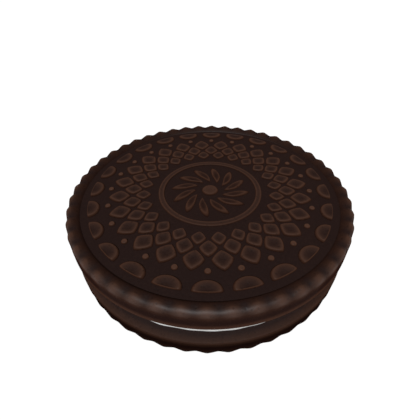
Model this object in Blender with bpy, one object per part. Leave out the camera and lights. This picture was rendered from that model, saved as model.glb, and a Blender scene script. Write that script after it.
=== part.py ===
# Chocolate sandwich biscuit: two embossed chocolate wafers with a disc of vanilla cream between them.
#
# Metres, +Z up. The origin lies under the middle of the biscuit, level with the lower wafer's
# ridges, which it stands on. A wafer is drawn face up, with its flat cream side at height 0.

import math

import bmesh
import bpy

# Whole biscuit
WAFER_RADIUS = 0.02267          # at the cream side, the widest place
WAFER_HEIGHT = 0.0035           # from the cream side to the crests of the ridges
CREAM_SPACE = 0.00365           # between the two wafers
FIT_GAP = 0.0003                # clearance between the cream and each wafer

# Ridged rim of a wafer
RIDGE_COUNT = 48
RIDGE_DEPTH = 0.0004            # crest down to valley, on top
FLUTE_DEPTH = 0.00007           # crest in to valley, at the shoulder
RIDGE_FADE_HEIGHT = 0.0012      # where the ridges die out on the side wall
SIDE_TAPER = 0.00003            # how far the side wall leans in between the cream and the ridges
CREAM_SIDE_ROUND = 0.00018      # round of the edge next to the cream
SHOULDER_ROUND = 0.0008         # how far the shoulder between side wall and ridges turns inwards
SHOULDER_DROP = 0.0009          # and how far down it reaches
SHOULDER_STEPS = 2
RIDGE_TOP_RADIUS = 0.02185      # where the rim starts to round down to the face
RIM_ROWS = (0.0215, 0.0210)     # radii that shape the rim on its way down
RIM_ROUNDNESS = 1.8
RIDGE_RUN_OUT = 0.15            # part of the way up from the face where the valleys begin

# Sunk face inside the rim
FACE_RADIUS = 0.0206
FACE_DEPTH = 0.00075            # flat ground of the face, below the crests

# Relief standing on the face
RELIEF_HEIGHT = 0.00025
RELIEF_SLOPE = 0.00024          # width of a motif's sloping side
MOTIFS_ROUND = 24               # lozenges in a row, half moons in the border, and dots

LOZENGE_ROWS = 3
LOZENGE_TIP_RADIUS = 0.0170     # outermost point of the lattice
LOZENGE_HALF_HEIGHT = 0.15      # half a lozenge, as a logarithm of the radius
LOZENGE_SHARE = 0.82            # part of its lattice cell that a lozenge fills

MOON_RADIUS = 0.01955           # straight outer side
MOON_DEPTH = 0.0020
MOON_SHARE = 0.80               # part of its pitch that a half moon fills
MOON_POINTS = 6

DOT_CENTRE_RADIUS = 0.0164      # in the notches between the outer lozenges
DOT_RADIUS = 0.0005
DOT_STEPS = 6

MEDALLION_OUTER_RADIUS = 0.0085
MEDALLION_INNER_RADIUS = 0.0075
MEDALLION_STEPS = 32

PETALS = 12
PETAL_INNER_RADIUS = 0.0022
PETAL_OUTER_RADIUS = 0.0066
PETAL_TWIST = math.radians(28)  # turn from a petal's inner tip to its outer tip
PETAL_SHARE = 0.72              # part of its pitch that a petal fills at its widest
PETAL_SIDE_STEPS = (0.35, 0.72)

BOSS_RADIUS = 0.0014
BOSS_STEPS = 12

# Cream filling
CREAM_RADIUS = 0.0213           # at the middle of its bulging side
CREAM_BULGE = 0.0002
CREAM_SIDE_STEPS = 4
CREAM_STEPS_ROUND = 64

# Colours (linear) and roughness
WAFER_COLOUR = (0.024, 0.012, 0.0095)
CREAM_COLOUR = (0.86, 0.84, 0.78)
WAFER_ROUGHNESS = 0.62
CREAM_ROUGHNESS = 0.45

MERGE_DISTANCE = 0.00001


def polar(radius, angle):
    """The point at this radius and angle, in the plane."""
    return (radius * math.cos(angle), radius * math.sin(angle))


def lozenge(row, index):
    """Corners of one lozenge. The rows shrink towards the middle and are set half a pitch apart."""
    pitch = 2 * math.pi / MOTIFS_ROUND
    middle_angle = (index + 0.5 * (row % 2 + 1)) * pitch
    middle_radius = LOZENGE_TIP_RADIUS * math.exp(-LOZENGE_HALF_HEIGHT * (row + 1))
    stretch = math.exp(LOZENGE_HALF_HEIGHT * LOZENGE_SHARE)
    reach = 0.5 * pitch * LOZENGE_SHARE
    return [
        polar(middle_radius * stretch, middle_angle),
        polar(middle_radius, middle_angle + reach),
        polar(middle_radius / stretch, middle_angle),
        polar(middle_radius, middle_angle - reach),
    ]


def half_moon(index):
    """Outline of one half moon of the border, its straight side outwards."""
    pitch = 2 * math.pi / MOTIFS_ROUND
    outline = []
    for step in range(MOON_POINTS):
        turn = math.pi * step / (MOON_POINTS - 1)
        angle = index * pitch - 0.5 * pitch * MOON_SHARE * math.cos(turn)
        outline.append(polar(MOON_RADIUS - MOON_DEPTH * math.sin(turn), angle))
    return outline


def petal(index):
    """Outline of one curved petal of the rosette."""
    pitch = 2 * math.pi / PETALS
    length = PETAL_OUTER_RADIUS - PETAL_INNER_RADIUS

    def side(along, lean):
        half_width = 0.5 * pitch * PETAL_SHARE * math.sin(math.pi * along)
        angle = index * pitch + PETAL_TWIST * along + lean * half_width
        return polar(PETAL_INNER_RADIUS + length * along, angle)

    outline = [side(0, 0)]
    outline += [side(along, -1) for along in PETAL_SIDE_STEPS]
    outline += [side(1, 0)]
    outline += [side(along, 1) for along in reversed(PETAL_SIDE_STEPS)]
    return outline


def circle(radius, steps, middle=(0, 0)):
    """Points evenly round a circle."""
    outline = []
    for step in range(steps):
        x, y = polar(radius, 2 * math.pi * step / steps)
        outline.append((middle[0] + x, middle[1] + y))
    return outline


def dot(index):
    """Outline of one dot, in line with a half moon."""
    middle = polar(DOT_CENTRE_RADIUS, 2 * math.pi * index / MOTIFS_ROUND)
    return circle(DOT_RADIUS, DOT_STEPS, middle)


def add_loop(bm, outline, height):
    """Add an outline as a closed loop of edges at one height, and return its corners and edges."""
    corners = [bm.verts.new((x, y, height)) for x, y in outline]
    edges = [bm.edges.new((corners[i - 1], corners[i])) for i in range(len(corners))]
    return corners, edges


def raise_faces(bm, faces):
    """Turn flat faces into one raised motif with sloping sides."""
    bmesh.ops.inset_region(
        bm,
        faces=faces,
        thickness=RELIEF_SLOPE,
        depth=RELIEF_HEIGHT,
        use_even_offset=True,
        use_boundary=True,
    )


def add_face(bm, rim_corners):
    """Fill the wafer's face inside its rim: flat ground, and every motif raised on it."""
    height = WAFER_HEIGHT - FACE_DEPTH
    outlines = [half_moon(index) for index in range(MOTIFS_ROUND)]
    outlines += [dot(index) for index in range(MOTIFS_ROUND)]
    outlines += [petal(index) for index in range(PETALS)]
    outlines += [circle(BOSS_RADIUS, BOSS_STEPS)]
    for row in range(LOZENGE_ROWS):
        outlines += [lozenge(row, index) for index in range(MOTIFS_ROUND)]
    ground_edges = [
        bm.edges.get((rim_corners[i - 1], rim_corners[i])) for i in range(len(rim_corners))
    ]

    motif_faces = []
    for outline in outlines:
        corners, edges = add_loop(bm, outline, height)
        ground_edges += edges
        motif_faces.append([bm.faces.new(corners)])

    outer, outer_edges = add_loop(bm, circle(MEDALLION_OUTER_RADIUS, MEDALLION_STEPS), height)
    inner, inner_edges = add_loop(bm, circle(MEDALLION_INNER_RADIUS, MEDALLION_STEPS), height)
    ground_edges += outer_edges + inner_edges
    motif_faces.append(join_rings(bm, outer, inner))

    bmesh.ops.triangle_fill(bm, edges=ground_edges, normal=(0, 0, 1), use_beauty=True)
    for faces in motif_faces:
        raise_faces(bm, faces)


def rim_height(radius, is_crest):
    """Height of the rim where it rounds down from the ridges to the face."""
    across = (radius - FACE_RADIUS) / (RIDGE_TOP_RADIUS - FACE_RADIUS)
    height = WAFER_HEIGHT - FACE_DEPTH * (1 - across) ** RIM_ROUNDNESS
    if is_crest:
        return height
    share = max(0, (across - RIDGE_RUN_OUT) / (1 - RIDGE_RUN_OUT))
    return height - RIDGE_DEPTH * share * share * (3 - 2 * share)


def rim_profile(is_crest):
    """Radius and height of the rim along one ridge or one valley, from the cream side inwards."""
    top = WAFER_HEIGHT - (0 if is_crest else RIDGE_DEPTH)
    shoulder_radius = WAFER_RADIUS - SIDE_TAPER - (0 if is_crest else FLUTE_DEPTH)
    profile = [
        (WAFER_RADIUS - CREAM_SIDE_ROUND, 0),
        (WAFER_RADIUS, CREAM_SIDE_ROUND),
        (WAFER_RADIUS - 0.5 * SIDE_TAPER, RIDGE_FADE_HEIGHT),
    ]
    for step in range(SHOULDER_STEPS + 1):
        turn = 0.5 * math.pi * step / SHOULDER_STEPS
        inwards = SHOULDER_ROUND * (1 - math.cos(turn))
        below_top = SHOULDER_DROP * (1 - math.sin(turn))
        profile.append((shoulder_radius - inwards, top - below_top))
    profile += [(radius, rim_height(radius, is_crest)) for radius in RIM_ROWS]
    profile.append((FACE_RADIUS, WAFER_HEIGHT - FACE_DEPTH))
    return profile


def join_rings(bm, first, second):
    """Join two rings of as many corners with a band of faces."""
    return [
        bm.faces.new((first[i - 1], first[i], second[i], second[i - 1])) for i in range(len(first))
    ]


def wafer_mesh(name):
    """One wafer, face up: ridged rim, embossed face and flat cream side."""
    bm = bmesh.new()
    crest = rim_profile(True)
    valley = rim_profile(False)
    rings = []
    for stage in range(len(crest)):
        corners = []
        for corner in range(2 * RIDGE_COUNT):
            radius, height = (valley if corner % 2 else crest)[stage]
            x, y = polar(radius, math.pi * corner / RIDGE_COUNT)
            corners.append(bm.verts.new((x, y, height)))
        rings.append(corners)
    for lower, upper in zip(rings, rings[1:]):
        join_rings(bm, lower, upper)
    bm.faces.new(list(reversed(rings[0])))
    add_face(bm, rings[-1])
    bmesh.ops.recalc_face_normals(bm, faces=bm.faces)
    mesh = bpy.data.meshes.new(name)
    bm.to_mesh(mesh)
    bm.free()
    mesh.shade_smooth()
    mesh.set_sharp_from_angle(angle=math.radians(25))
    return mesh


def principled(name, colour, roughness):
    """A plain matt material of one colour."""
    material = bpy.data.materials.new(name)
    material.use_nodes = True
    shader = material.node_tree.nodes["Principled BSDF"]
    shader.inputs["Base Color"].default_value = (*colour, 1)
    shader.inputs["Roughness"].default_value = roughness
    shader.inputs["Metallic"].default_value = 0
    return material


def place(name, mesh, material, height, turned_over=False):
    """Put a mesh in the scene as one sub-part, its own zero level at this height."""
    piece = bpy.data.objects.new(name, mesh)
    mesh.materials.append(material)
    piece.location = (0, 0, height)
    piece.rotation_euler = (math.pi if turned_over else 0, 0, 0)
    bpy.context.collection.objects.link(piece)
    return piece


def cream_profile_mesh(name):
    """Half section of the cream from its top middle to its bottom middle, its side bulging out."""
    half_height = 0.5 * CREAM_SPACE - FIT_GAP
    points = [(0, 0, half_height)]
    for step in range(CREAM_SIDE_STEPS + 1):
        turn = math.pi * (0.5 - step / CREAM_SIDE_STEPS)
        radius = CREAM_RADIUS - CREAM_BULGE * (1 - math.cos(turn))
        points.append((radius, 0, half_height * math.sin(turn)))
    points.append((0, 0, -half_height))
    mesh = bpy.data.meshes.new(name)
    mesh.from_pydata(points, [(i, i + 1) for i in range(len(points) - 1)], [])
    return mesh


def turn_round(piece):
    """Turn a half section about the vertical axis into a closed solid."""
    screw = piece.modifiers.new("turned", "SCREW")
    screw.axis = "Z"
    screw.angle = 2 * math.pi
    screw.steps = CREAM_STEPS_ROUND
    screw.render_steps = CREAM_STEPS_ROUND
    screw.use_merge_vertices = True
    screw.merge_threshold = MERGE_DISTANCE
    screw.use_smooth_shade = True


for old in list(bpy.data.objects):
    bpy.data.objects.remove(old, do_unlink=True)

lower_wafer_top = WAFER_HEIGHT
upper_wafer_foot = WAFER_HEIGHT + CREAM_SPACE

place(
    "wafer_bottom",
    wafer_mesh("wafer_bottom"),
    principled("chocolate_wafer_bottom", WAFER_COLOUR, WAFER_ROUGHNESS),
    lower_wafer_top,
    turned_over=True,
)
cream = place(
    "cream_filling",
    cream_profile_mesh("cream_filling"),
    principled("vanilla_cream", CREAM_COLOUR, CREAM_ROUGHNESS),
    0.5 * (lower_wafer_top + upper_wafer_foot),
)
turn_round(cream)
place(
    "wafer_top",
    wafer_mesh("wafer_top"),
    principled("chocolate_wafer_top", WAFER_COLOUR, WAFER_ROUGHNESS),
    upper_wafer_foot,
)
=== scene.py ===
# Chocolate sandwich biscuit: finish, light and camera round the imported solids, in metres, +Z up.
import math

import bmesh
import bpy
from mathutils import Matrix, Vector, noise


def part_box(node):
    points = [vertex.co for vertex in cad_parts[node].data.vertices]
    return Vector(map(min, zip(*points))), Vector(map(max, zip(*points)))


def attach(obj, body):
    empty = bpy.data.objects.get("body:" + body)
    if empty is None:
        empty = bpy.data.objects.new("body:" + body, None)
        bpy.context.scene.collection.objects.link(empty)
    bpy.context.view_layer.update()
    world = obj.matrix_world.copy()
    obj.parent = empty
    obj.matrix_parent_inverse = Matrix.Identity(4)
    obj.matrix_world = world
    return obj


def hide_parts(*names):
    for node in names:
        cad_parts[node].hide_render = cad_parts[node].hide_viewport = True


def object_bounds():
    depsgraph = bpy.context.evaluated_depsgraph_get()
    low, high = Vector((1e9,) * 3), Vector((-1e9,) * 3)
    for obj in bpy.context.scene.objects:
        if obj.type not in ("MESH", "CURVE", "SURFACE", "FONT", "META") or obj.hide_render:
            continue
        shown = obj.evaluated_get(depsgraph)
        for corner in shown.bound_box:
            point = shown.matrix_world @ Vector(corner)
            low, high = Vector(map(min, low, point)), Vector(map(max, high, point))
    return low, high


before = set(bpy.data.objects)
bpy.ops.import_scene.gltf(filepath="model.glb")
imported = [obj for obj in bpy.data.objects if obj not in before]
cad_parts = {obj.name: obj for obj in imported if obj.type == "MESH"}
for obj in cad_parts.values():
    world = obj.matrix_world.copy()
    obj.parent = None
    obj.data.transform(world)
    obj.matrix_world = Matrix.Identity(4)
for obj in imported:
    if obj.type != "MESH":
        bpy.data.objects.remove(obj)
cad_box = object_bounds()
stands_at, cad_top = cad_box[0].z, cad_box[1].z


# --- Table, light and camera -----------------------------------------------------------------
# The biscuit lies on a plain pale table. One distant soft light stands high over the near side,
# a little to the left, and a dim, even white room fills the shadows.

class Wire:
    """One output of a node. Python's operators on it add Math nodes to its tree."""

    def __init__(self, graph, socket):
        self.graph = graph
        self.socket = socket

    def sibling(self, name):
        """Another output of the same node."""
        return Wire(self.graph, self.socket.node.outputs[name])

    def between(self, low, high, smooth=False):
        """0 below low and 1 above high, with a straight or a smooth rise between."""
        rise = "SMOOTHSTEP" if smooth else "LINEAR"
        settings = {"interpolation_type": rise, "clamp": True}
        return self.graph.node("ShaderNodeMapRange", settings, {0: self, 1: low, 2: high})

    def __add__(self, other):
        return self.graph.maths("ADD", self, other)

    def __sub__(self, other):
        return self.graph.maths("SUBTRACT", self, other)

    def __rsub__(self, other):
        return self.graph.maths("SUBTRACT", other, self)

    def __mul__(self, other):
        return self.graph.maths("MULTIPLY", self, other)

    def __truediv__(self, other):
        return self.graph.maths("DIVIDE", self, other)

    def __rtruediv__(self, other):
        return self.graph.maths("DIVIDE", other, self)

    def __pow__(self, other):
        return self.graph.maths("POWER", self, other)

    __radd__ = __add__
    __rmul__ = __mul__


class Graph:
    """A shader or geometry node tree that is being built."""

    def __init__(self, tree):
        self.tree = tree

    def node(self, kind, settings=None, inputs=None, output=0):
        """Add a node: its settings, then the value or wires of each input. Gives one output."""
        made = self.tree.nodes.new(kind)
        for name, value in (settings or {}).items():
            setattr(made, name, value)
        for name, value in (inputs or {}).items():
            if not isinstance(value, (Wire, list)):
                made.inputs[name].default_value = value
                continue
            for wire in value if isinstance(value, list) else [value]:
                self.tree.links.new(wire.socket, made.inputs[name])
        return Wire(self, made.outputs[output]) if made.outputs else None

    def maths(self, operation, *values):
        """One Math node."""
        return self.node("ShaderNodeMath", {"operation": operation}, dict(enumerate(values)))

    def mix(self, factor, first, second):
        """A colour between two."""
        settings = {"data_type": "RGBA"}
        return self.node("ShaderNodeMix", settings, {0: factor, 6: first, 7: second}, output=2)


def new_material(name):
    """A new material, with its graph and its Principled shader's inputs."""
    material = bpy.data.materials.new(name)
    material.use_nodes = True
    shader = material.node_tree.nodes["Principled BSDF"]
    return material, Graph(material.node_tree), shader.inputs


def feed(inputs, **values):
    """Set or link the inputs of a shader, named in lower case with underscores."""
    for name, value in values.items():
        socket = inputs[name.replace("_", " ").title().replace("Ior", "IOR")]
        if isinstance(value, Wire):
            value.graph.tree.links.new(value.socket, socket)
        else:
            socket.default_value = value


TABLE_HALF_SIZE = 1.5
TABLE_DIVISIONS = 8
TABLE_COLOUR = (0.90, 0.90, 0.90, 1)
TABLE_CLOUD_COLOUR = (0.91, 0.91, 0.91, 1)
TABLE_CLOUD_SCALE = 9.0

table_mesh = bpy.data.meshes.new("table")
table_shape = bmesh.new()
bmesh.ops.create_grid(
    table_shape, x_segments=TABLE_DIVISIONS, y_segments=TABLE_DIVISIONS, size=TABLE_HALF_SIZE
)
bmesh.ops.translate(table_shape, verts=table_shape.verts, vec=(0, 0, stands_at))
table_shape.to_mesh(table_mesh)
table_shape.free()
table_material, table_graph, table_shader = new_material("pale_table")
table_place = table_graph.node("ShaderNodeTexCoord", output="Object")
table_cloud = table_graph.node(
    "ShaderNodeTexNoise",
    inputs={"Vector": table_place, "Scale": TABLE_CLOUD_SCALE, "Detail": 2.0},
)
feed(
    table_shader,
    base_color=table_graph.mix(table_cloud, TABLE_COLOUR, TABLE_CLOUD_COLOUR),
    roughness=0.8,
    specular_ior_level=0.0,
)
table_mesh.materials.append(table_material)
table = bpy.data.objects.new("table", table_mesh)
bpy.context.collection.objects.link(table)

ROOM_LIGHT = 0.07
room = bpy.data.worlds.new("room")
room.use_nodes = True
room.node_tree.nodes["Background"].inputs["Color"].default_value = (1, 1, 1, 1)
room.node_tree.nodes["Background"].inputs["Strength"].default_value = ROOM_LIGHT
bpy.context.scene.world = room
bpy.context.scene.view_settings.view_transform = "Standard"

LIGHT_AZIMUTH = math.radians(-8)        # 0 is straight over the near side, less is to its left
LIGHT_ELEVATION = math.radians(48)
LIGHT_WIDTH = math.radians(16)          # how broad it looks from the table
LIGHT_STRENGTH = 4.6

light_data = bpy.data.lights.new("near_left_light", "SUN")
light_data.angle = LIGHT_WIDTH
light_data.energy = LIGHT_STRENGTH
light = bpy.data.objects.new("near_left_light", light_data)
towards_light = Vector((
    math.sin(LIGHT_AZIMUTH) * math.cos(LIGHT_ELEVATION),
    -math.cos(LIGHT_AZIMUTH) * math.cos(LIGHT_ELEVATION),
    math.sin(LIGHT_ELEVATION),
))
light.rotation_euler = towards_light.to_track_quat("Z", "Y").to_euler()
bpy.context.collection.objects.link(light)

CAMERA_ELEVATION = math.radians(41.96)
CAMERA_AZIMUTH = math.radians(0.96)
CAMERA_DISTANCE = 0.049213      # to the point that it looks at
CAMERA_AIM_DROP = 0.003809      # from the middle of the top, down across the view, to that point
CAMERA_LENS_MM = 25.62
CAMERA_SENSOR_MM = 36
CAMERA_NEAREST = 0.001          # closer things aren't drawn

camera_data = bpy.data.cameras.new("camera")
camera_data.lens = CAMERA_LENS_MM
camera_data.sensor_width = CAMERA_SENSOR_MM
camera_data.clip_start = CAMERA_NEAREST
camera = bpy.data.objects.new("camera", camera_data)
camera_tilt = Matrix.Rotation(math.pi / 2 - CAMERA_ELEVATION, 3, "X")
camera_turn = Matrix.Rotation(CAMERA_AZIMUTH, 3, "Z") @ camera_tilt
camera_place = camera_turn @ Vector((0, -CAMERA_AIM_DROP, CAMERA_DISTANCE))
camera.location = Vector((0, 0, cad_top)) + camera_place
camera.rotation_euler = camera_turn.to_euler()
bpy.context.collection.objects.link(camera)
bpy.context.scene.camera = camera


# --- Chocolate wafers ------------------------------------------------------------------------
# Two thin rounds of very dark cocoa biscuit, stamped with the same relief and baked hard. The rim
# is fluted into 48 ridges, and the stamped edges bake a little paler than the sunk ground. Painted
# shade darkens the side walls, the lower wafer's most, and each cream side away from its edge.

RIDGES = 48
RIDGE_DEPTH = 0.00040
RIDGE_SHARPNESS = 0.90          # 0 makes round waves, and 1 straight-sided ones
RIDGE_RUN_OUT = 0.15            # part of the way out from the face where the valleys begin
RIM_ROUNDNESS = 1.8
FACE_DEPTH = 0.00075            # ground of the face below the ridges
FACE_RADIUS = 0.0206
RIDGE_TOP_RADIUS = 0.02185
SHOULDER_ROUND = 0.0008         # how far the shoulder turns inwards
SHOULDER_DROP = 0.0009          # and how far down it reaches
SIDE_TAPER = 0.00003
FLUTE_DEPTH = 0.00007
FLUTE_END = 0.8                 # part of the way down the wall where the flutes end
CREAM_SIDE_ROUND = 0.00012
WAFER_SHARP_ANGLE = math.radians(50)
WAFER_RADIUS = cad_box[1].x
WAFER_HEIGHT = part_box("wafer_top")[1].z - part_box("wafer_top")[0].z

# Rings of points that a wafer's cylinder is reshaped from
POINTS_PER_RIDGE = 16
CAP_RINGS = 18
GROUND_SHARE = 4 / CAP_RINGS    # part of the rings that lie on the flat ground
SIDE_RINGS = 14
SHOULDER_SHARE = 0.4            # part of the side rings that turn the shoulder
FOOT_SHARE = 0.8                # where the round of the cream side starts
CAP_TOLERANCE = 0.0001          # how near to an end of the cylinder a point counts as on it

# Motifs on the face
RELIEF_HEIGHT = 0.00025
MOTIF_SINK = 0.00012            # how far a motif's foot reaches into the ground
MOTIF_SIDE_RINGS = 4
MOTIF_TOP_RINGS = 3
MOTIF_SLOPE_SHARE = 0.8         # part of a motif's side that slopes, above its sunk foot
LEVEL_TOLERANCE = 0.000001      # how near to the ground's height a face counts as level
SHORTEST_EDGE = 0.000001        # corners nearer than this after joining become one

# How pale a place is: 0 is the dark ground, and 1 the palest edge; the last two are painted light
# and shade
RIDGE_PALE = 0.66               # crests on the outside
RIDGE_TOP_PALE = 0.12           # and how much more near their top
VALLEY_PALE = 0.47
CREAM_EDGE_PALE = 0.56          # foot of the side wall, next to the cream
RIM_CREST_PALE = 0.50           # crests on the inner slope of the rim
RIM_TOP_PALE = 0.28             # and how much more near their top
RIM_FOOT_PALE = 0.12            # line where the rim leaves the ground
BACK_EDGE_PAINTED_LIGHT = 0.70           # painted light: rise at the edge of the cream side
BACK_PAINTED_SHADE = 0.14                # painted shade: how much darker the rest of the cream side is

# Part of the surface that has no sheen, and parts of rim and side that have one
MATT_FACE = 0.56
MATT_SLOPE = 0.44               # how much more matt a motif's slopes are
MATT_BACK = 0.12                # how much more matt the cream side is
RIM_CREST_SHEEN = 0.35
RIM_VALLEY_SHEEN = 0.52
RIM_FOOT_SHEEN = 0.11
WALL_SHEEN = 0.03
SHOULDER_SHEEN = 0.51           # how much more the shoulder has than the wall
SHOULDER_SHEEN_FADE = (0.00045, 0.0011)     # depths below the top between which that ends
CREST_DULLNESS = 0.36           # part of the shoulder's sheen that its crests lack


def geometry_graph(name, sizes):
    """A geometry node tree with a named input for each size, and the wires of those inputs."""
    tree = bpy.data.node_groups.new(name, "GeometryNodeTree")
    tree.interface.new_socket("Geometry", in_out="OUTPUT", socket_type="NodeSocketGeometry")
    for label, value in sizes.items():
        kind = "NodeSocketInt" if isinstance(value, int) else "NodeSocketFloat"
        if isinstance(value, bpy.types.Material):
            kind = "NodeSocketMaterial"
        socket = tree.interface.new_socket(label, in_out="INPUT", socket_type=kind)
        socket.default_value = value
    graph = Graph(tree)
    entry = tree.nodes.new("NodeGroupInput")
    return graph, {label: Wire(graph, entry.outputs[label]) for label in sizes}


def finish_graph(graph, geometry):
    """Send geometry to the tree's output."""
    graph.tree.links.new(geometry.socket, graph.tree.nodes.new("NodeGroupOutput").inputs[0])


def unit_cylinder(graph, around, side, rings):
    """A closed cylinder to be reshaped, and its points' x, y, spread from the axis and way down."""
    shell = graph.node("GeometryNodeMeshCylinder", {"fill_type": "TRIANGLE_FAN"}, {
        "Vertices": around,
        "Side Segments": side,
        "Fill Segments": rings,
        "Radius": 1,
        "Depth": 2,
    })
    x = graph.node("ShaderNodeSeparateXYZ", inputs={0: graph.node("GeometryNodeInputPosition")})
    y = x.sibling("Y")
    spread = graph.maths("SQRT", x * x + y * y)
    down = (1 - x.sibling("Z")) * 0.5
    return shell, x, y, spread, down


def reshape(graph, geometry, radius, angle, height, paleness, matt):
    """Move the points to these polar places, and note how pale and how much more matt each is.

    Both are 0 on the ground of the face, because the corners that joining makes have no value
    of their own.
    """
    # On a wafer's side and cream side, paleness also holds painted shade
    place = graph.node("ShaderNodeCombineXYZ", inputs={
        0: radius * graph.maths("COSINE", angle),
        1: radius * graph.maths("SINE", angle),
        2: height,
    })
    noted = graph.node(
        "GeometryNodeStoreNamedAttribute",
        {"data_type": "FLOAT_VECTOR", "domain": "POINT"},
        {
            "Geometry": geometry,
            "Name": "bake",
            "Value": graph.node("ShaderNodeCombineXYZ", inputs={0: paleness, 1: matt}),
        },
    )
    return graph.node("GeometryNodeSetPosition", inputs={"Geometry": noted, "Position": place})


def raised_section(graph, size, spread, down):
    """Section of a raised motif: how far across, how high, how pale and how matt each point is.

    The top is dished inside a rounded lip. The side slopes to a foot that is sunk in the ground.
    """
    slope = down.between(0, MOTIF_SLOPE_SHARE)
    across = spread * (1 - size["Lip inset"] + size["Lip inset"] * slope)
    dish = (1 - spread * spread) ** 2 * size["Dish"]
    foot = down.between(MOTIF_SLOPE_SHARE, 1)
    height = size["Relief"] * (1 - slope.between(0, 1, smooth=True)) - dish - foot * size["Sink"]
    lip = (size["Pale lip"] - size["Pale middle"]) * spread.between(0.52, 0.96, smooth=True)
    lip = size["Pale middle"] + lip
    paleness = lip * (1 - slope.between(0.25, 0.95, smooth=True))
    matt = size["Matt top"] + slope.between(0.0, 0.3) * (MATT_SLOPE - size["Matt top"])
    return across, height, paleness, matt


MOTIF_SIZES = {
    "Count": 24,
    "Rows": 1,
    "Row step": 0.15,
    "Radius": 0.01,
    "Half width": 0.1,
    "Outer reach": 0.1,
    "Inner reach": 0.1,
    "Outer squareness": 2.0,
    "Inner squareness": 2.0,
    "Twist": 0.0,
    "Phase": 0.0,
    "Ground height": 0.0,
    "Relief": RELIEF_HEIGHT,
    "Dish": 0.00012,
    "Lip inset": 0.2,
    "Sink": MOTIF_SINK,
    "Pale middle": 0.12,
    "Pale lip": 0.78,
    "Matt top": 0.0,
    "Points around": 24,
}


def motif_tree():
    """Rows of one motif round the face.

    A motif's reach is a logarithm of the radius, so that the rows inside it fit when shrunk.
    """
    graph, size = geometry_graph("raised_motifs", MOTIF_SIZES)
    shell, x, y, spread, down = unit_cylinder(
        graph, size["Points around"], MOTIF_SIDE_RINGS, MOTIF_TOP_RINGS
    )
    across, height, paleness, matt = raised_section(graph, size, spread, down)
    outside = graph.maths("GREATER_THAN", y, 0)
    reach = size["Inner reach"] + (size["Outer reach"] - size["Inner reach"]) * outside
    power = size["Inner squareness"]
    power = power + (size["Outer squareness"] - size["Inner squareness"]) * outside
    corner = graph.maths("ABSOLUTE", x) ** power + graph.maths("ABSOLUTE", y) ** power
    corner = corner ** (1 / power)
    scale = across / graph.maths("MAXIMUM", corner, 0.001)      # never 0, as in the middle
    outwards = y * scale * reach
    sideways = outwards * size["Twist"] - x * scale * size["Half width"]
    motif = reshape(
        graph, shell, size["Radius"] * graph.maths("EXPONENT", outwards), sideways,
        size["Ground height"] + height, paleness, matt,
    )
    index = graph.node("GeometryNodeInputIndex")
    row = graph.maths("FLOOR", index / size["Count"] + 0.0001)  # a whole number stays whole
    pitch = 2 * math.pi / size["Count"]
    shrink = graph.maths("EXPONENT", row * size["Row step"] * -1)
    angle = (index + row * 0.5) * pitch + size["Phase"]
    copies = graph.node("GeometryNodeInstanceOnPoints", inputs={
        "Points": graph.node("GeometryNodePoints", inputs={"Count": size["Count"] * size["Rows"]}),
        "Instance": motif,
        "Rotation": graph.node("FunctionNodeAxisAngleToRotation", inputs={"Angle": angle}),
        "Scale": graph.node("ShaderNodeCombineXYZ", inputs={0: shrink, 1: shrink, 2: 1}),
    })
    finish_graph(graph, graph.node("GeometryNodeRealizeInstances", inputs={"Geometry": copies}))
    return graph.tree


def ring_tree():
    """A raised band round the middle of the face, grooved along its top."""
    graph, size = geometry_graph("raised_ring", {
        "Radius": 0.008,
        "Half width": 0.0005,
        "Ground height": 0.0,
        "Relief": RELIEF_HEIGHT,
        "Groove": 0.0001,
        "Pale middle": 0.30,
        "Pale lip": 0.78,
        "Sink": MOTIF_SINK,
        "Points around": 128,
        "Points across": 20,
    })
    tube_radius = 10                # of a tube 1 thick, before it is reshaped
    waist = -0.2                    # level on the tube that comes to lie on the ground
    tube = graph.node("GeometryNodeCurveToMesh", inputs={
        "Curve": graph.node("GeometryNodeCurvePrimitiveCircle", inputs={
            "Resolution": size["Points around"], "Radius": tube_radius,
        }),
        "Profile Curve": graph.node("GeometryNodeCurvePrimitiveCircle", inputs={
            "Resolution": size["Points across"], "Radius": 1,
        }),
    })
    x = graph.node("ShaderNodeSeparateXYZ", inputs={0: graph.node("GeometryNodeInputPosition")})
    y, z = x.sibling("Y"), x.sibling("Z")
    across = graph.maths("SQRT", x * x + y * y) - tube_radius
    edge = graph.maths("ABSOLUTE", across)
    upper = z.between(waist, 0.9, smooth=True)
    groove = (1 - edge * edge) ** 2 * size["Groove"] * upper
    height = size["Relief"] * upper - size["Sink"] * (1 - z.between(-1, waist)) - groove
    lip = (size["Pale lip"] - size["Pale middle"]) * edge.between(0.2, 0.75, smooth=True)
    paleness = (size["Pale middle"] + lip) * upper
    band = reshape(
        graph, tube, size["Radius"] + across * size["Half width"], graph.maths("ARCTAN2", y, x),
        size["Ground height"] + height, paleness, edge.between(0.7, 0.9) * MATT_SLOPE,
    )
    finish_graph(graph, band)
    return graph.tree


def boss_tree():
    """The round boss in the middle of the face."""
    graph, size = geometry_graph("raised_boss", {
        "Radius": 0.0014,
        "Ground height": 0.0,
        "Relief": RELIEF_HEIGHT,
        "Dish": 0.0001,
        "Lip inset": 0.22,
        "Sink": MOTIF_SINK,
        "Pale middle": 0.55,
        "Pale lip": 0.78,
        "Matt top": 0.0,
        "Points around": 40,
    })
    shell, x, y, spread, down = unit_cylinder(
        graph, size["Points around"], MOTIF_SIDE_RINGS, MOTIF_TOP_RINGS
    )
    across, height, paleness, matt = raised_section(graph, size, spread, down)
    boss = reshape(
        graph, shell, across * size["Radius"], graph.maths("ARCTAN2", y, x),
        size["Ground height"] + height, paleness, matt,
    )
    finish_graph(graph, boss)
    return graph.tree


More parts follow.
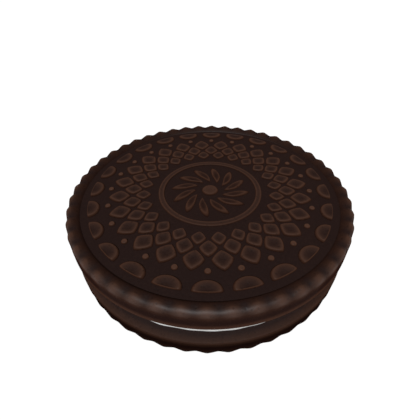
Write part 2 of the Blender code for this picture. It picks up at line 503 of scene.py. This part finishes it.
def wafer_tree(material):
    """One whole wafer, face up on its cream side: the fluted round, and every motif fused to it."""
    graph, size = geometry_graph("stamped_wafer", {
        "Radius": WAFER_RADIUS,
        "Height": WAFER_HEIGHT,
        "Ridges": RIDGES,
        "Ridge depth": RIDGE_DEPTH,
        "Face depth": FACE_DEPTH,
        "Face radius": FACE_RADIUS,
        "Ridge top radius": RIDGE_TOP_RADIUS,
        "Shoulder round": SHOULDER_ROUND,
        "Shoulder drop": SHOULDER_DROP,
        "Side taper": SIDE_TAPER,
        "Flute depth": FLUTE_DEPTH,
        "Cream side round": CREAM_SIDE_ROUND,
        "Relief": RELIEF_HEIGHT,
        "Sink": MOTIF_SINK,
        "Biscuit": material,
    })
    shell, x, y, spread, down = unit_cylinder(
        graph, size["Ridges"] * POINTS_PER_RIDGE, SIDE_RINGS, CAP_RINGS
    )
    angle = graph.maths("ARCTAN2", y, x)
    swing = graph.maths("COSINE", angle * size["Ridges"]) * RIDGE_SHARPNESS
    crest = graph.maths("ARCSINE", swing) * (0.5 / math.asin(RIDGE_SHARPNESS)) + 0.5
    valley = 1 - crest

    # Side, from the shoulder down to the round next to the cream
    shoulder = down.between(0, SHOULDER_SHARE) * (math.pi / 2)
    wall = down.between(SHOULDER_SHARE, FOOT_SHARE)
    foot = down.between(FOOT_SHARE, 1) * (math.pi / 2)
    rim_top = size["Height"] - size["Ridge depth"] * valley
    wall_radius = size["Radius"] - size["Side taper"] * (1 - wall)
    flute = size["Flute depth"] * valley
    wall_radius = wall_radius - flute * (1 - wall.between(0, FLUTE_END, smooth=True))
    side_radius = wall_radius - size["Shoulder round"] * (1 - graph.maths("SINE", shoulder))
    side_radius = side_radius - size["Cream side round"] * (1 - graph.maths("COSINE", foot))
    shoulder_foot = rim_top - size["Shoulder drop"]
    side_height = rim_top - size["Shoulder drop"] * (1 - graph.maths("COSINE", shoulder))
    side_height = side_height - wall * (shoulder_foot - size["Cream side round"])
    side_height = side_height - size["Cream side round"] * graph.maths("SINE", foot)

    # Face and the inner slope of the rim, from the middle out to the shoulder
    shoulder_start = size["Radius"] - size["Side taper"] - size["Shoulder round"] - flute
    rim_width = shoulder_start - size["Face radius"]
    cap_radius = spread.between(0, GROUND_SHARE) * size["Face radius"]
    cap_radius = cap_radius + spread.between(GROUND_SHARE, 1) * rim_width
    rim_part = cap_radius.between(size["Face radius"], size["Ridge top radius"])
    bulge = 1 - (1 - rim_part) ** RIM_ROUNDNESS
    notch = size["Ridge depth"] * valley * rim_part.between(RIDGE_RUN_OUT, 1, smooth=True)
    ground = size["Height"] - size["Face depth"]
    cap_height = ground + size["Face depth"] * bulge - notch

    # Which of the two each point is on
    on_face = graph.maths("LESS_THAN", down, CAP_TOLERANCE)
    on_back = graph.maths("GREATER_THAN", down, 1 - CAP_TOLERANCE)
    on_side = (1 - on_face) * (1 - on_back)
    radius = on_face * cap_radius + (1 - on_face) * spread * side_radius
    height = on_face * cap_height + (1 - on_face) * side_height

    # How pale it is: baked tone, with painted shade toward the foot of the wall and on the cream
    # side. Each pair is where a fade starts and ends, as parts of the way up or out
    up_wall = height / size["Height"]
    # Painted shade: the ridges' pale tone fades to dark toward the foot of the outer wall
    outer_painted_shade_fade = up_wall.between(0.42, 0.95, smooth=True)
    valley_rub = (1 - (height / rim_top).between(0.86, 0.99)) * VALLEY_PALE
    ridge_rub = RIDGE_PALE - valley_rub + up_wall.between(0.80, 0.95) * RIDGE_TOP_PALE
    ridge_rub = crest * ridge_rub + valley_rub
    cream_edge_rub = (1 - up_wall.between(0.08, 0.32, smooth=True)) * CREAM_EDGE_PALE
    rim_rub = RIM_CREST_PALE + rim_part.between(0.85, 1.0) * RIM_TOP_PALE
    rim_rub = rim_part ** 0.8 * crest * rim_rub
    rim_foot = rim_part.between(0.0, 0.05)
    rim_rub = rim_rub + rim_foot * (1 - rim_part.between(0.15, 0.60)) * RIM_FOOT_PALE
    # Painted shade on the cream side, darker away from its edge, with painted light along the edge
    back_painted_light_and_shade = spread.between(0.945, 1.0) * BACK_EDGE_PAINTED_LIGHT - BACK_PAINTED_SHADE
    paleness = on_face * rim_rub + on_back * back_painted_light_and_shade
    paleness = paleness + on_side * (outer_painted_shade_fade * ridge_rub + cream_edge_rub)

    # How much of it is matt beyond the face
    rim_gloss = crest * rim_part.between(0.45, 1.0) * RIM_CREST_SHEEN
    rim_gloss = rim_gloss + valley * rim_part.between(0.1, 0.8) * RIM_VALLEY_SHEEN
    rim_gloss = rim_gloss + (1 - rim_part.between(0.30, 0.75)) * RIM_FOOT_SHEEN
    below_crest = size["Height"] - height
    side_gloss = (1 - below_crest.between(*SHOULDER_SHEEN_FADE)) * SHOULDER_SHEEN + WALL_SHEEN
    side_gloss = side_gloss * (1 - crest * (1 - shoulder.between(0.0, 0.7)) * CREST_DULLNESS)
    matt = on_face * rim_foot * (1 - MATT_FACE - rim_gloss)
    matt = matt + on_side * (1 - MATT_FACE - side_gloss) + on_back * MATT_BACK
    body = reshape(graph, shell, radius, angle, height, paleness, matt)
    motif_group = motif_tree()

    on_ground = {"Ground height": ground, "Relief": size["Relief"], "Sink": size["Sink"]}

    def motifs(**sizes):
        """One kind of motif, its sizes given by name."""
        inputs = {label.replace("_", " ").capitalize(): value for label, value in sizes.items()}
        inputs.update(on_ground)
        return graph.node("GeometryNodeGroup", {"node_tree": motif_group}, inputs)

    lozenges = motifs(
        count=24, rows=3, row_step=0.15, radius=0.01463, half_width=0.1075,
        outer_reach=0.123, inner_reach=0.123, outer_squareness=1.3, inner_squareness=1.3,
        phase=math.radians(7.5), lip_inset=0.2, dish=0.00013,
    )
    half_moons = motifs(
        count=24, radius=0.0192, half_width=0.106,
        outer_reach=0.018, inner_reach=0.088, outer_squareness=5.0, inner_squareness=2.0,
        lip_inset=0.2, dish=0.00013,
    )
    dots = motifs(
        count=24, radius=0.0164, half_width=0.0305, outer_reach=0.0305, inner_reach=0.0305,
        lip_inset=0.3, dish=0.0, pale_middle=1.0, pale_lip=1.0, points_around=16,
    )
    petals = motifs(
        count=12, radius=0.0040, half_width=0.185,
        outer_reach=0.50, inner_reach=0.58, outer_squareness=1.6, inner_squareness=1.45,
        twist=0.44, phase=math.radians(15), lip_inset=0.24, dish=0.00011, matt_top=0.22,
    )
    band = graph.node("GeometryNodeGroup", {"node_tree": ring_tree()}, on_ground)
    boss = graph.node("GeometryNodeGroup", {"node_tree": boss_tree()}, on_ground)

    # All of it joined, near corners merged, and faces of many corners split evenly
    fused = graph.node(
        "GeometryNodeMeshBoolean",
        {"operation": "UNION", "solver": "MANIFOLD"},
        {"Mesh 2": [body, lozenges, half_moons, dots, petals, band, boss]},
    )
    merged = graph.node(
        "GeometryNodeMergeByDistance", inputs={"Geometry": fused, "Distance": SHORTEST_EDGE}
    )
    corners = graph.node("GeometryNodeInputMeshFaceNeighbors")
    split = graph.node(
        "GeometryNodeTriangulate",
        {"ngon_method": "BEAUTY"},
        {"Mesh": merged, "Selection": graph.maths("GREATER_THAN", corners, 4)},
    )
    whole = graph.node("GeometryNodeRealizeInstances", inputs={"Geometry": split})
    finish_graph(graph, graph.node(
        "GeometryNodeSetMaterial", inputs={"Geometry": whole, "Material": size["Biscuit"]}
    ))
    return graph.tree


def grow(name, tree):
    """Evaluate a geometry tree once, and give the result as a plain mesh."""
    seed = bpy.data.objects.new(name, bpy.data.meshes.new(name))
    bpy.context.collection.objects.link(seed)
    modifier = seed.modifiers.new(name, "NODES")
    modifier.node_group = tree
    for item in tree.interface.items_tree:
        if item.in_out == "INPUT":
            modifier[item.identifier] = item.default_value
    evaluated = seed.evaluated_get(bpy.context.evaluated_depsgraph_get())
    mesh = bpy.data.meshes.new_from_object(evaluated)
    bpy.data.objects.remove(seed, do_unlink=True)
    return mesh


BISCUIT_DARK = (0.0127, 0.0052, 0.0040, 1)
BISCUIT_BROWN = (0.062, 0.0278, 0.0168, 1)
BISCUIT_PIT = (0.006, 0.0032, 0.0026, 1)
BISCUIT_ROUGHNESS = 0.50
PATCH_SCALE = 260.0             # how many to a metre, as in the next three
CRUMB_SCALE = 3200.0
FINE_CRUMB_SCALE = 9000.0
PIT_SCALE = 1500.0
PIT_EDGE = (0.08, 0.30)         # where a pit ends, as parts of the way to the next
PIT_DARKNESS = 0.35             # how far a pit's colour goes towards the darkest
CRUMB_HEIGHT = 0.00008
CRUMB_BUMP = 0.35
PALENESS_IN_TONE = 0.95             # how much each of these three tells on the colour
CRUMB_IN_TONE = 0.30
PATCHES_IN_TONE = 0.10
MATT_DARKENING = 0.28           # part of the colour lost where matt: painted shade on the walls
SHADE_DARKENING = 0.42          # painted shade: this much more on the lower wafer's wall
SHADE_FADE = (0.0032, 0.0036)   # heights between which that ends, where the cream begins
SHADE_EDGE = (0.0219, 0.0223)   # radii between which the wall begins
RIM_EASING = 0.80               # part of a ridge's sideways lean that its shading leaves out
EASING_BLEND = 0.0001           # width over which the easing sets in, to each side
GRAZING = (0.38, 0.80)          # facing weights between which the sheen fades at the edge


def biscuit_material():
    """Very dark cocoa biscuit: fine crumb, small pits, paler brown where it is raised."""
    material, graph, shader = new_material("dark_cocoa_biscuit")
    place = graph.node("ShaderNodeTexCoord", output="Object")
    bake = graph.node("ShaderNodeAttribute", {"attribute_name": "bake"}, output="Vector")
    paleness = graph.node("ShaderNodeSeparateXYZ", inputs={0: bake})
    more_matt = paleness.sibling("Y")

    def grain(scale, detail, roughness=0.6):
        """Noise of one size."""
        inputs = {"Vector": place, "Scale": scale, "Detail": detail, "Roughness": roughness}
        return graph.node("ShaderNodeTexNoise", inputs=inputs)

    def vectors(operation, *values, output=0):
        """One Vector Math node."""
        settings = {"operation": operation}
        return graph.node("ShaderNodeVectorMath", settings, dict(enumerate(values)), output)

    patches = grain(PATCH_SCALE, 2.0)
    crumb = grain(CRUMB_SCALE, 4.0, 0.65)
    specks = graph.node("ShaderNodeTexVoronoi", inputs={"Vector": place, "Scale": PIT_SCALE})
    pits = 1 - specks.between(*PIT_EDGE, smooth=True)
    tone = paleness * PALENESS_IN_TONE + (crumb - 0.5) * CRUMB_IN_TONE
    tone = tone + (patches - 0.5) * PATCHES_IN_TONE
    colour = graph.mix(tone.between(0.0, 1.0), BISCUIT_DARK, BISCUIT_BROWN)
    colour = graph.mix(pits * PIT_DARKNESS, colour, BISCUIT_PIT)

    # Rounded by baking, the ridges shade more softly than they stand: outside the face, most
    # of the sideways part of the surface's direction is taken out
    direction = graph.node("ShaderNodeNewGeometry", output="Normal")
    flat_place = vectors("MULTIPLY", place, (1, 1, 0))
    across = vectors("NORMALIZE", vectors("CROSS_PRODUCT", (0, 0, 1), flat_place))
    from_axis = vectors("LENGTH", flat_place, output="Value")
    off_face = from_axis.between(FACE_RADIUS - EASING_BLEND, FACE_RADIUS + EASING_BLEND)
    sideways = vectors("DOT_PRODUCT", direction, across, output="Value")
    taken_out = graph.node("ShaderNodeVectorMath", {"operation": "SCALE"}, {
        0: across, "Scale": sideways * off_face * -RIM_EASING,
    })
    direction = vectors("NORMALIZE", vectors("ADD", direction, taken_out))

    # Painted shade: the colour darkens where the surface is matt, and the outer wall of the lower
    # wafer is made the mattest and darkest place
    height = graph.node("ShaderNodeSeparateXYZ", inputs={0: place}).sibling("Z")
    shaded = (1 - height.between(*SHADE_FADE)) * from_axis.between(*SHADE_EDGE)
    matt_part = graph.maths("MAXIMUM", more_matt + MATT_FACE, shaded)
    darkening = matt_part * (MATT_DARKENING + shaded * SHADE_DARKENING)
    colour = graph.mix(darkening, colour, (0, 0, 0, 1))
    grazing = graph.node(
        "ShaderNodeLayerWeight", inputs={"Blend": 0.5, "Normal": direction}, output="Facing"
    )
    no_sheen = graph.maths("MAXIMUM", matt_part, grazing.between(*GRAZING, smooth=True))

    relief = crumb * 0.7 + grain(FINE_CRUMB_SCALE, 2.0) * 0.3 - pits * 0.5
    bump = graph.node("ShaderNodeBump", inputs={
        "Strength": CRUMB_BUMP, "Distance": CRUMB_HEIGHT, "Height": relief, "Normal": direction,
    })
    feed(
        shader,
        base_color=colour,
        roughness=BISCUIT_ROUGHNESS + crumb * 0.12,
        normal=bump,
        specular_ior_level=0.45,
    )
    sheen = Wire(graph, shader["Base Color"].node.outputs[0])
    matt = graph.node(
        "ShaderNodeBsdfDiffuse", inputs={"Color": colour, "Roughness": 1.0, "Normal": bump}
    )
    both = graph.node("ShaderNodeMixShader", inputs={0: no_sheen, 1: sheen, 2: matt})
    output = material.node_tree.nodes["Material Output"]
    material.node_tree.links.new(both.socket, output.inputs["Surface"])
    return material


wafer_mesh = grow("wafer", wafer_tree(biscuit_material()))
wafer_mesh.shade_smooth()
wafer_mesh.set_sharp_from_angle(angle=WAFER_SHARP_ANGLE)
# The level ground is shaded flat, so that no motif's soft edge spreads into it
ground_height = WAFER_HEIGHT - FACE_DEPTH
for face in wafer_mesh.polygons:
    heights = [wafer_mesh.vertices[corner].co.z for corner in face.vertices]
    if max(abs(height - ground_height) for height in heights) < LEVEL_TOLERANCE:
        face.use_smooth = False


def place_wafer(name, mesh, foot, face_down):
    """Put one wafer on the cream, face up or face down."""
    turned = Matrix.Rotation(math.pi if face_down else 0, 4, "X")
    mesh.transform(Matrix.Translation((0, 0, foot)) @ turned)
    wafer = bpy.data.objects.new(name + "_biscuit", mesh)
    bpy.context.collection.objects.link(wafer)
    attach(wafer, "root")
    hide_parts(name)


place_wafer("wafer_bottom", wafer_mesh.copy(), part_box("wafer_bottom")[1].z, face_down=True)
place_wafer("wafer_top", wafer_mesh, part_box("wafer_top")[0].z, face_down=False)


# --- Cream filling ---------------------------------------------------------------------------
# A disc of stiff white sugar cream, pressed between the wafers. It sticks to both, and its side
# bulges a little and stays slightly uneven where it was squeezed.

CREAM_STEPS_ROUND = 360
CREAM_SIDE_STEPS = 14
CREAM_BULGE = 0.00019
CREAM_WAVE = 0.00007            # how uneven its side is
CREAM_WAVE_SCALE = 8            # waves to a radius
CREAM_WAVE_RISE = 1.5           # how much the waves change from foot to top
CREAM_WAVE_START = 139.86       # where in the endless noise they begin
CREAM_OVERLAP = 0.00002         # how far the cream is pressed into the wafers
# Greyer than white sugar cream, as painted shade of the gap between the wafers; the smears go
# between the two at random
CREAM_SHADED_DARKER = (0.65, 0.65, 0.645, 1)
CREAM_SHADED_PALER = (0.70, 0.70, 0.695, 1)
CREAM_ROUGHNESS = 0.42
CREAM_SHARP_ANGLE = math.radians(40)
SMEAR_SCALE = 420.0             # smears to a metre
SUGAR_SCALE = 5000.0            # grains of sugar to a metre
SMEAR_HEIGHT = 0.00008
SMEAR_BUMP = 0.3


def cream_mesh():
    """Turn the cream's section round the axis, its side a little uneven."""
    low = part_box("wafer_bottom")[1].z - CREAM_OVERLAP
    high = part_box("wafer_top")[0].z + CREAM_OVERLAP
    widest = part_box("cream_filling")[1].x
    shape = bmesh.new()
    rings = []
    for row in range(CREAM_SIDE_STEPS + 1):
        up = row / CREAM_SIDE_STEPS
        ring = []
        for step in range(CREAM_STEPS_ROUND):
            angle = 2 * math.pi * step / CREAM_STEPS_ROUND
            around = Vector((math.cos(angle), math.sin(angle), 0))
            start = Vector((CREAM_WAVE_START, 0, up * CREAM_WAVE_RISE))
            wave = noise.noise(around * CREAM_WAVE_SCALE + start)
            bulge = CREAM_BULGE * (2 * up - 1) ** 2
            radius = widest - CREAM_WAVE - bulge + CREAM_WAVE * wave * 2
            corner = around * radius
            corner.z = low + (high - low) * up
            ring.append(shape.verts.new(corner))
        rings.append(ring)
    for lower, upper in zip(rings, rings[1:]):
        for i in range(CREAM_STEPS_ROUND):
            shape.faces.new((lower[i - 1], lower[i], upper[i], upper[i - 1]))
    shape.faces.new(list(reversed(rings[0])))
    shape.faces.new(rings[-1])
    bmesh.ops.recalc_face_normals(shape, faces=shape.faces)
    mesh = bpy.data.meshes.new("cream")
    shape.to_mesh(mesh)
    shape.free()
    mesh.shade_smooth()
    mesh.set_sharp_from_angle(angle=CREAM_SHARP_ANGLE)
    return mesh


def cream_material():
    """White sugar cream, greyed by painted shade, with a soft satin surface and faint smears."""
    material, graph, shader = new_material("white_sugar_cream")
    place = graph.node("ShaderNodeTexCoord", output="Object")
    smear = graph.node(
        "ShaderNodeTexNoise", inputs={"Vector": place, "Scale": SMEAR_SCALE, "Detail": 3.0}
    )
    sugar = graph.node(
        "ShaderNodeTexNoise", inputs={"Vector": place, "Scale": SUGAR_SCALE, "Detail": 2.0}
    )
    bump = graph.node("ShaderNodeBump", inputs={
        "Strength": SMEAR_BUMP, "Distance": SMEAR_HEIGHT, "Height": smear * 0.7 + sugar * 0.3,
    })
    feed(
        shader,
        base_color=graph.mix(smear, CREAM_SHADED_DARKER, CREAM_SHADED_PALER),
        roughness=CREAM_ROUGHNESS + sugar * 0.12,
        normal=bump,
        specular_ior_level=0.4,
    )
    return material


cream_shape = cream_mesh()
cream_shape.materials.append(cream_material())
cream = bpy.data.objects.new("cream_layer", cream_shape)
bpy.context.collection.objects.link(cream)
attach(cream, "root")
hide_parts("cream_filling")
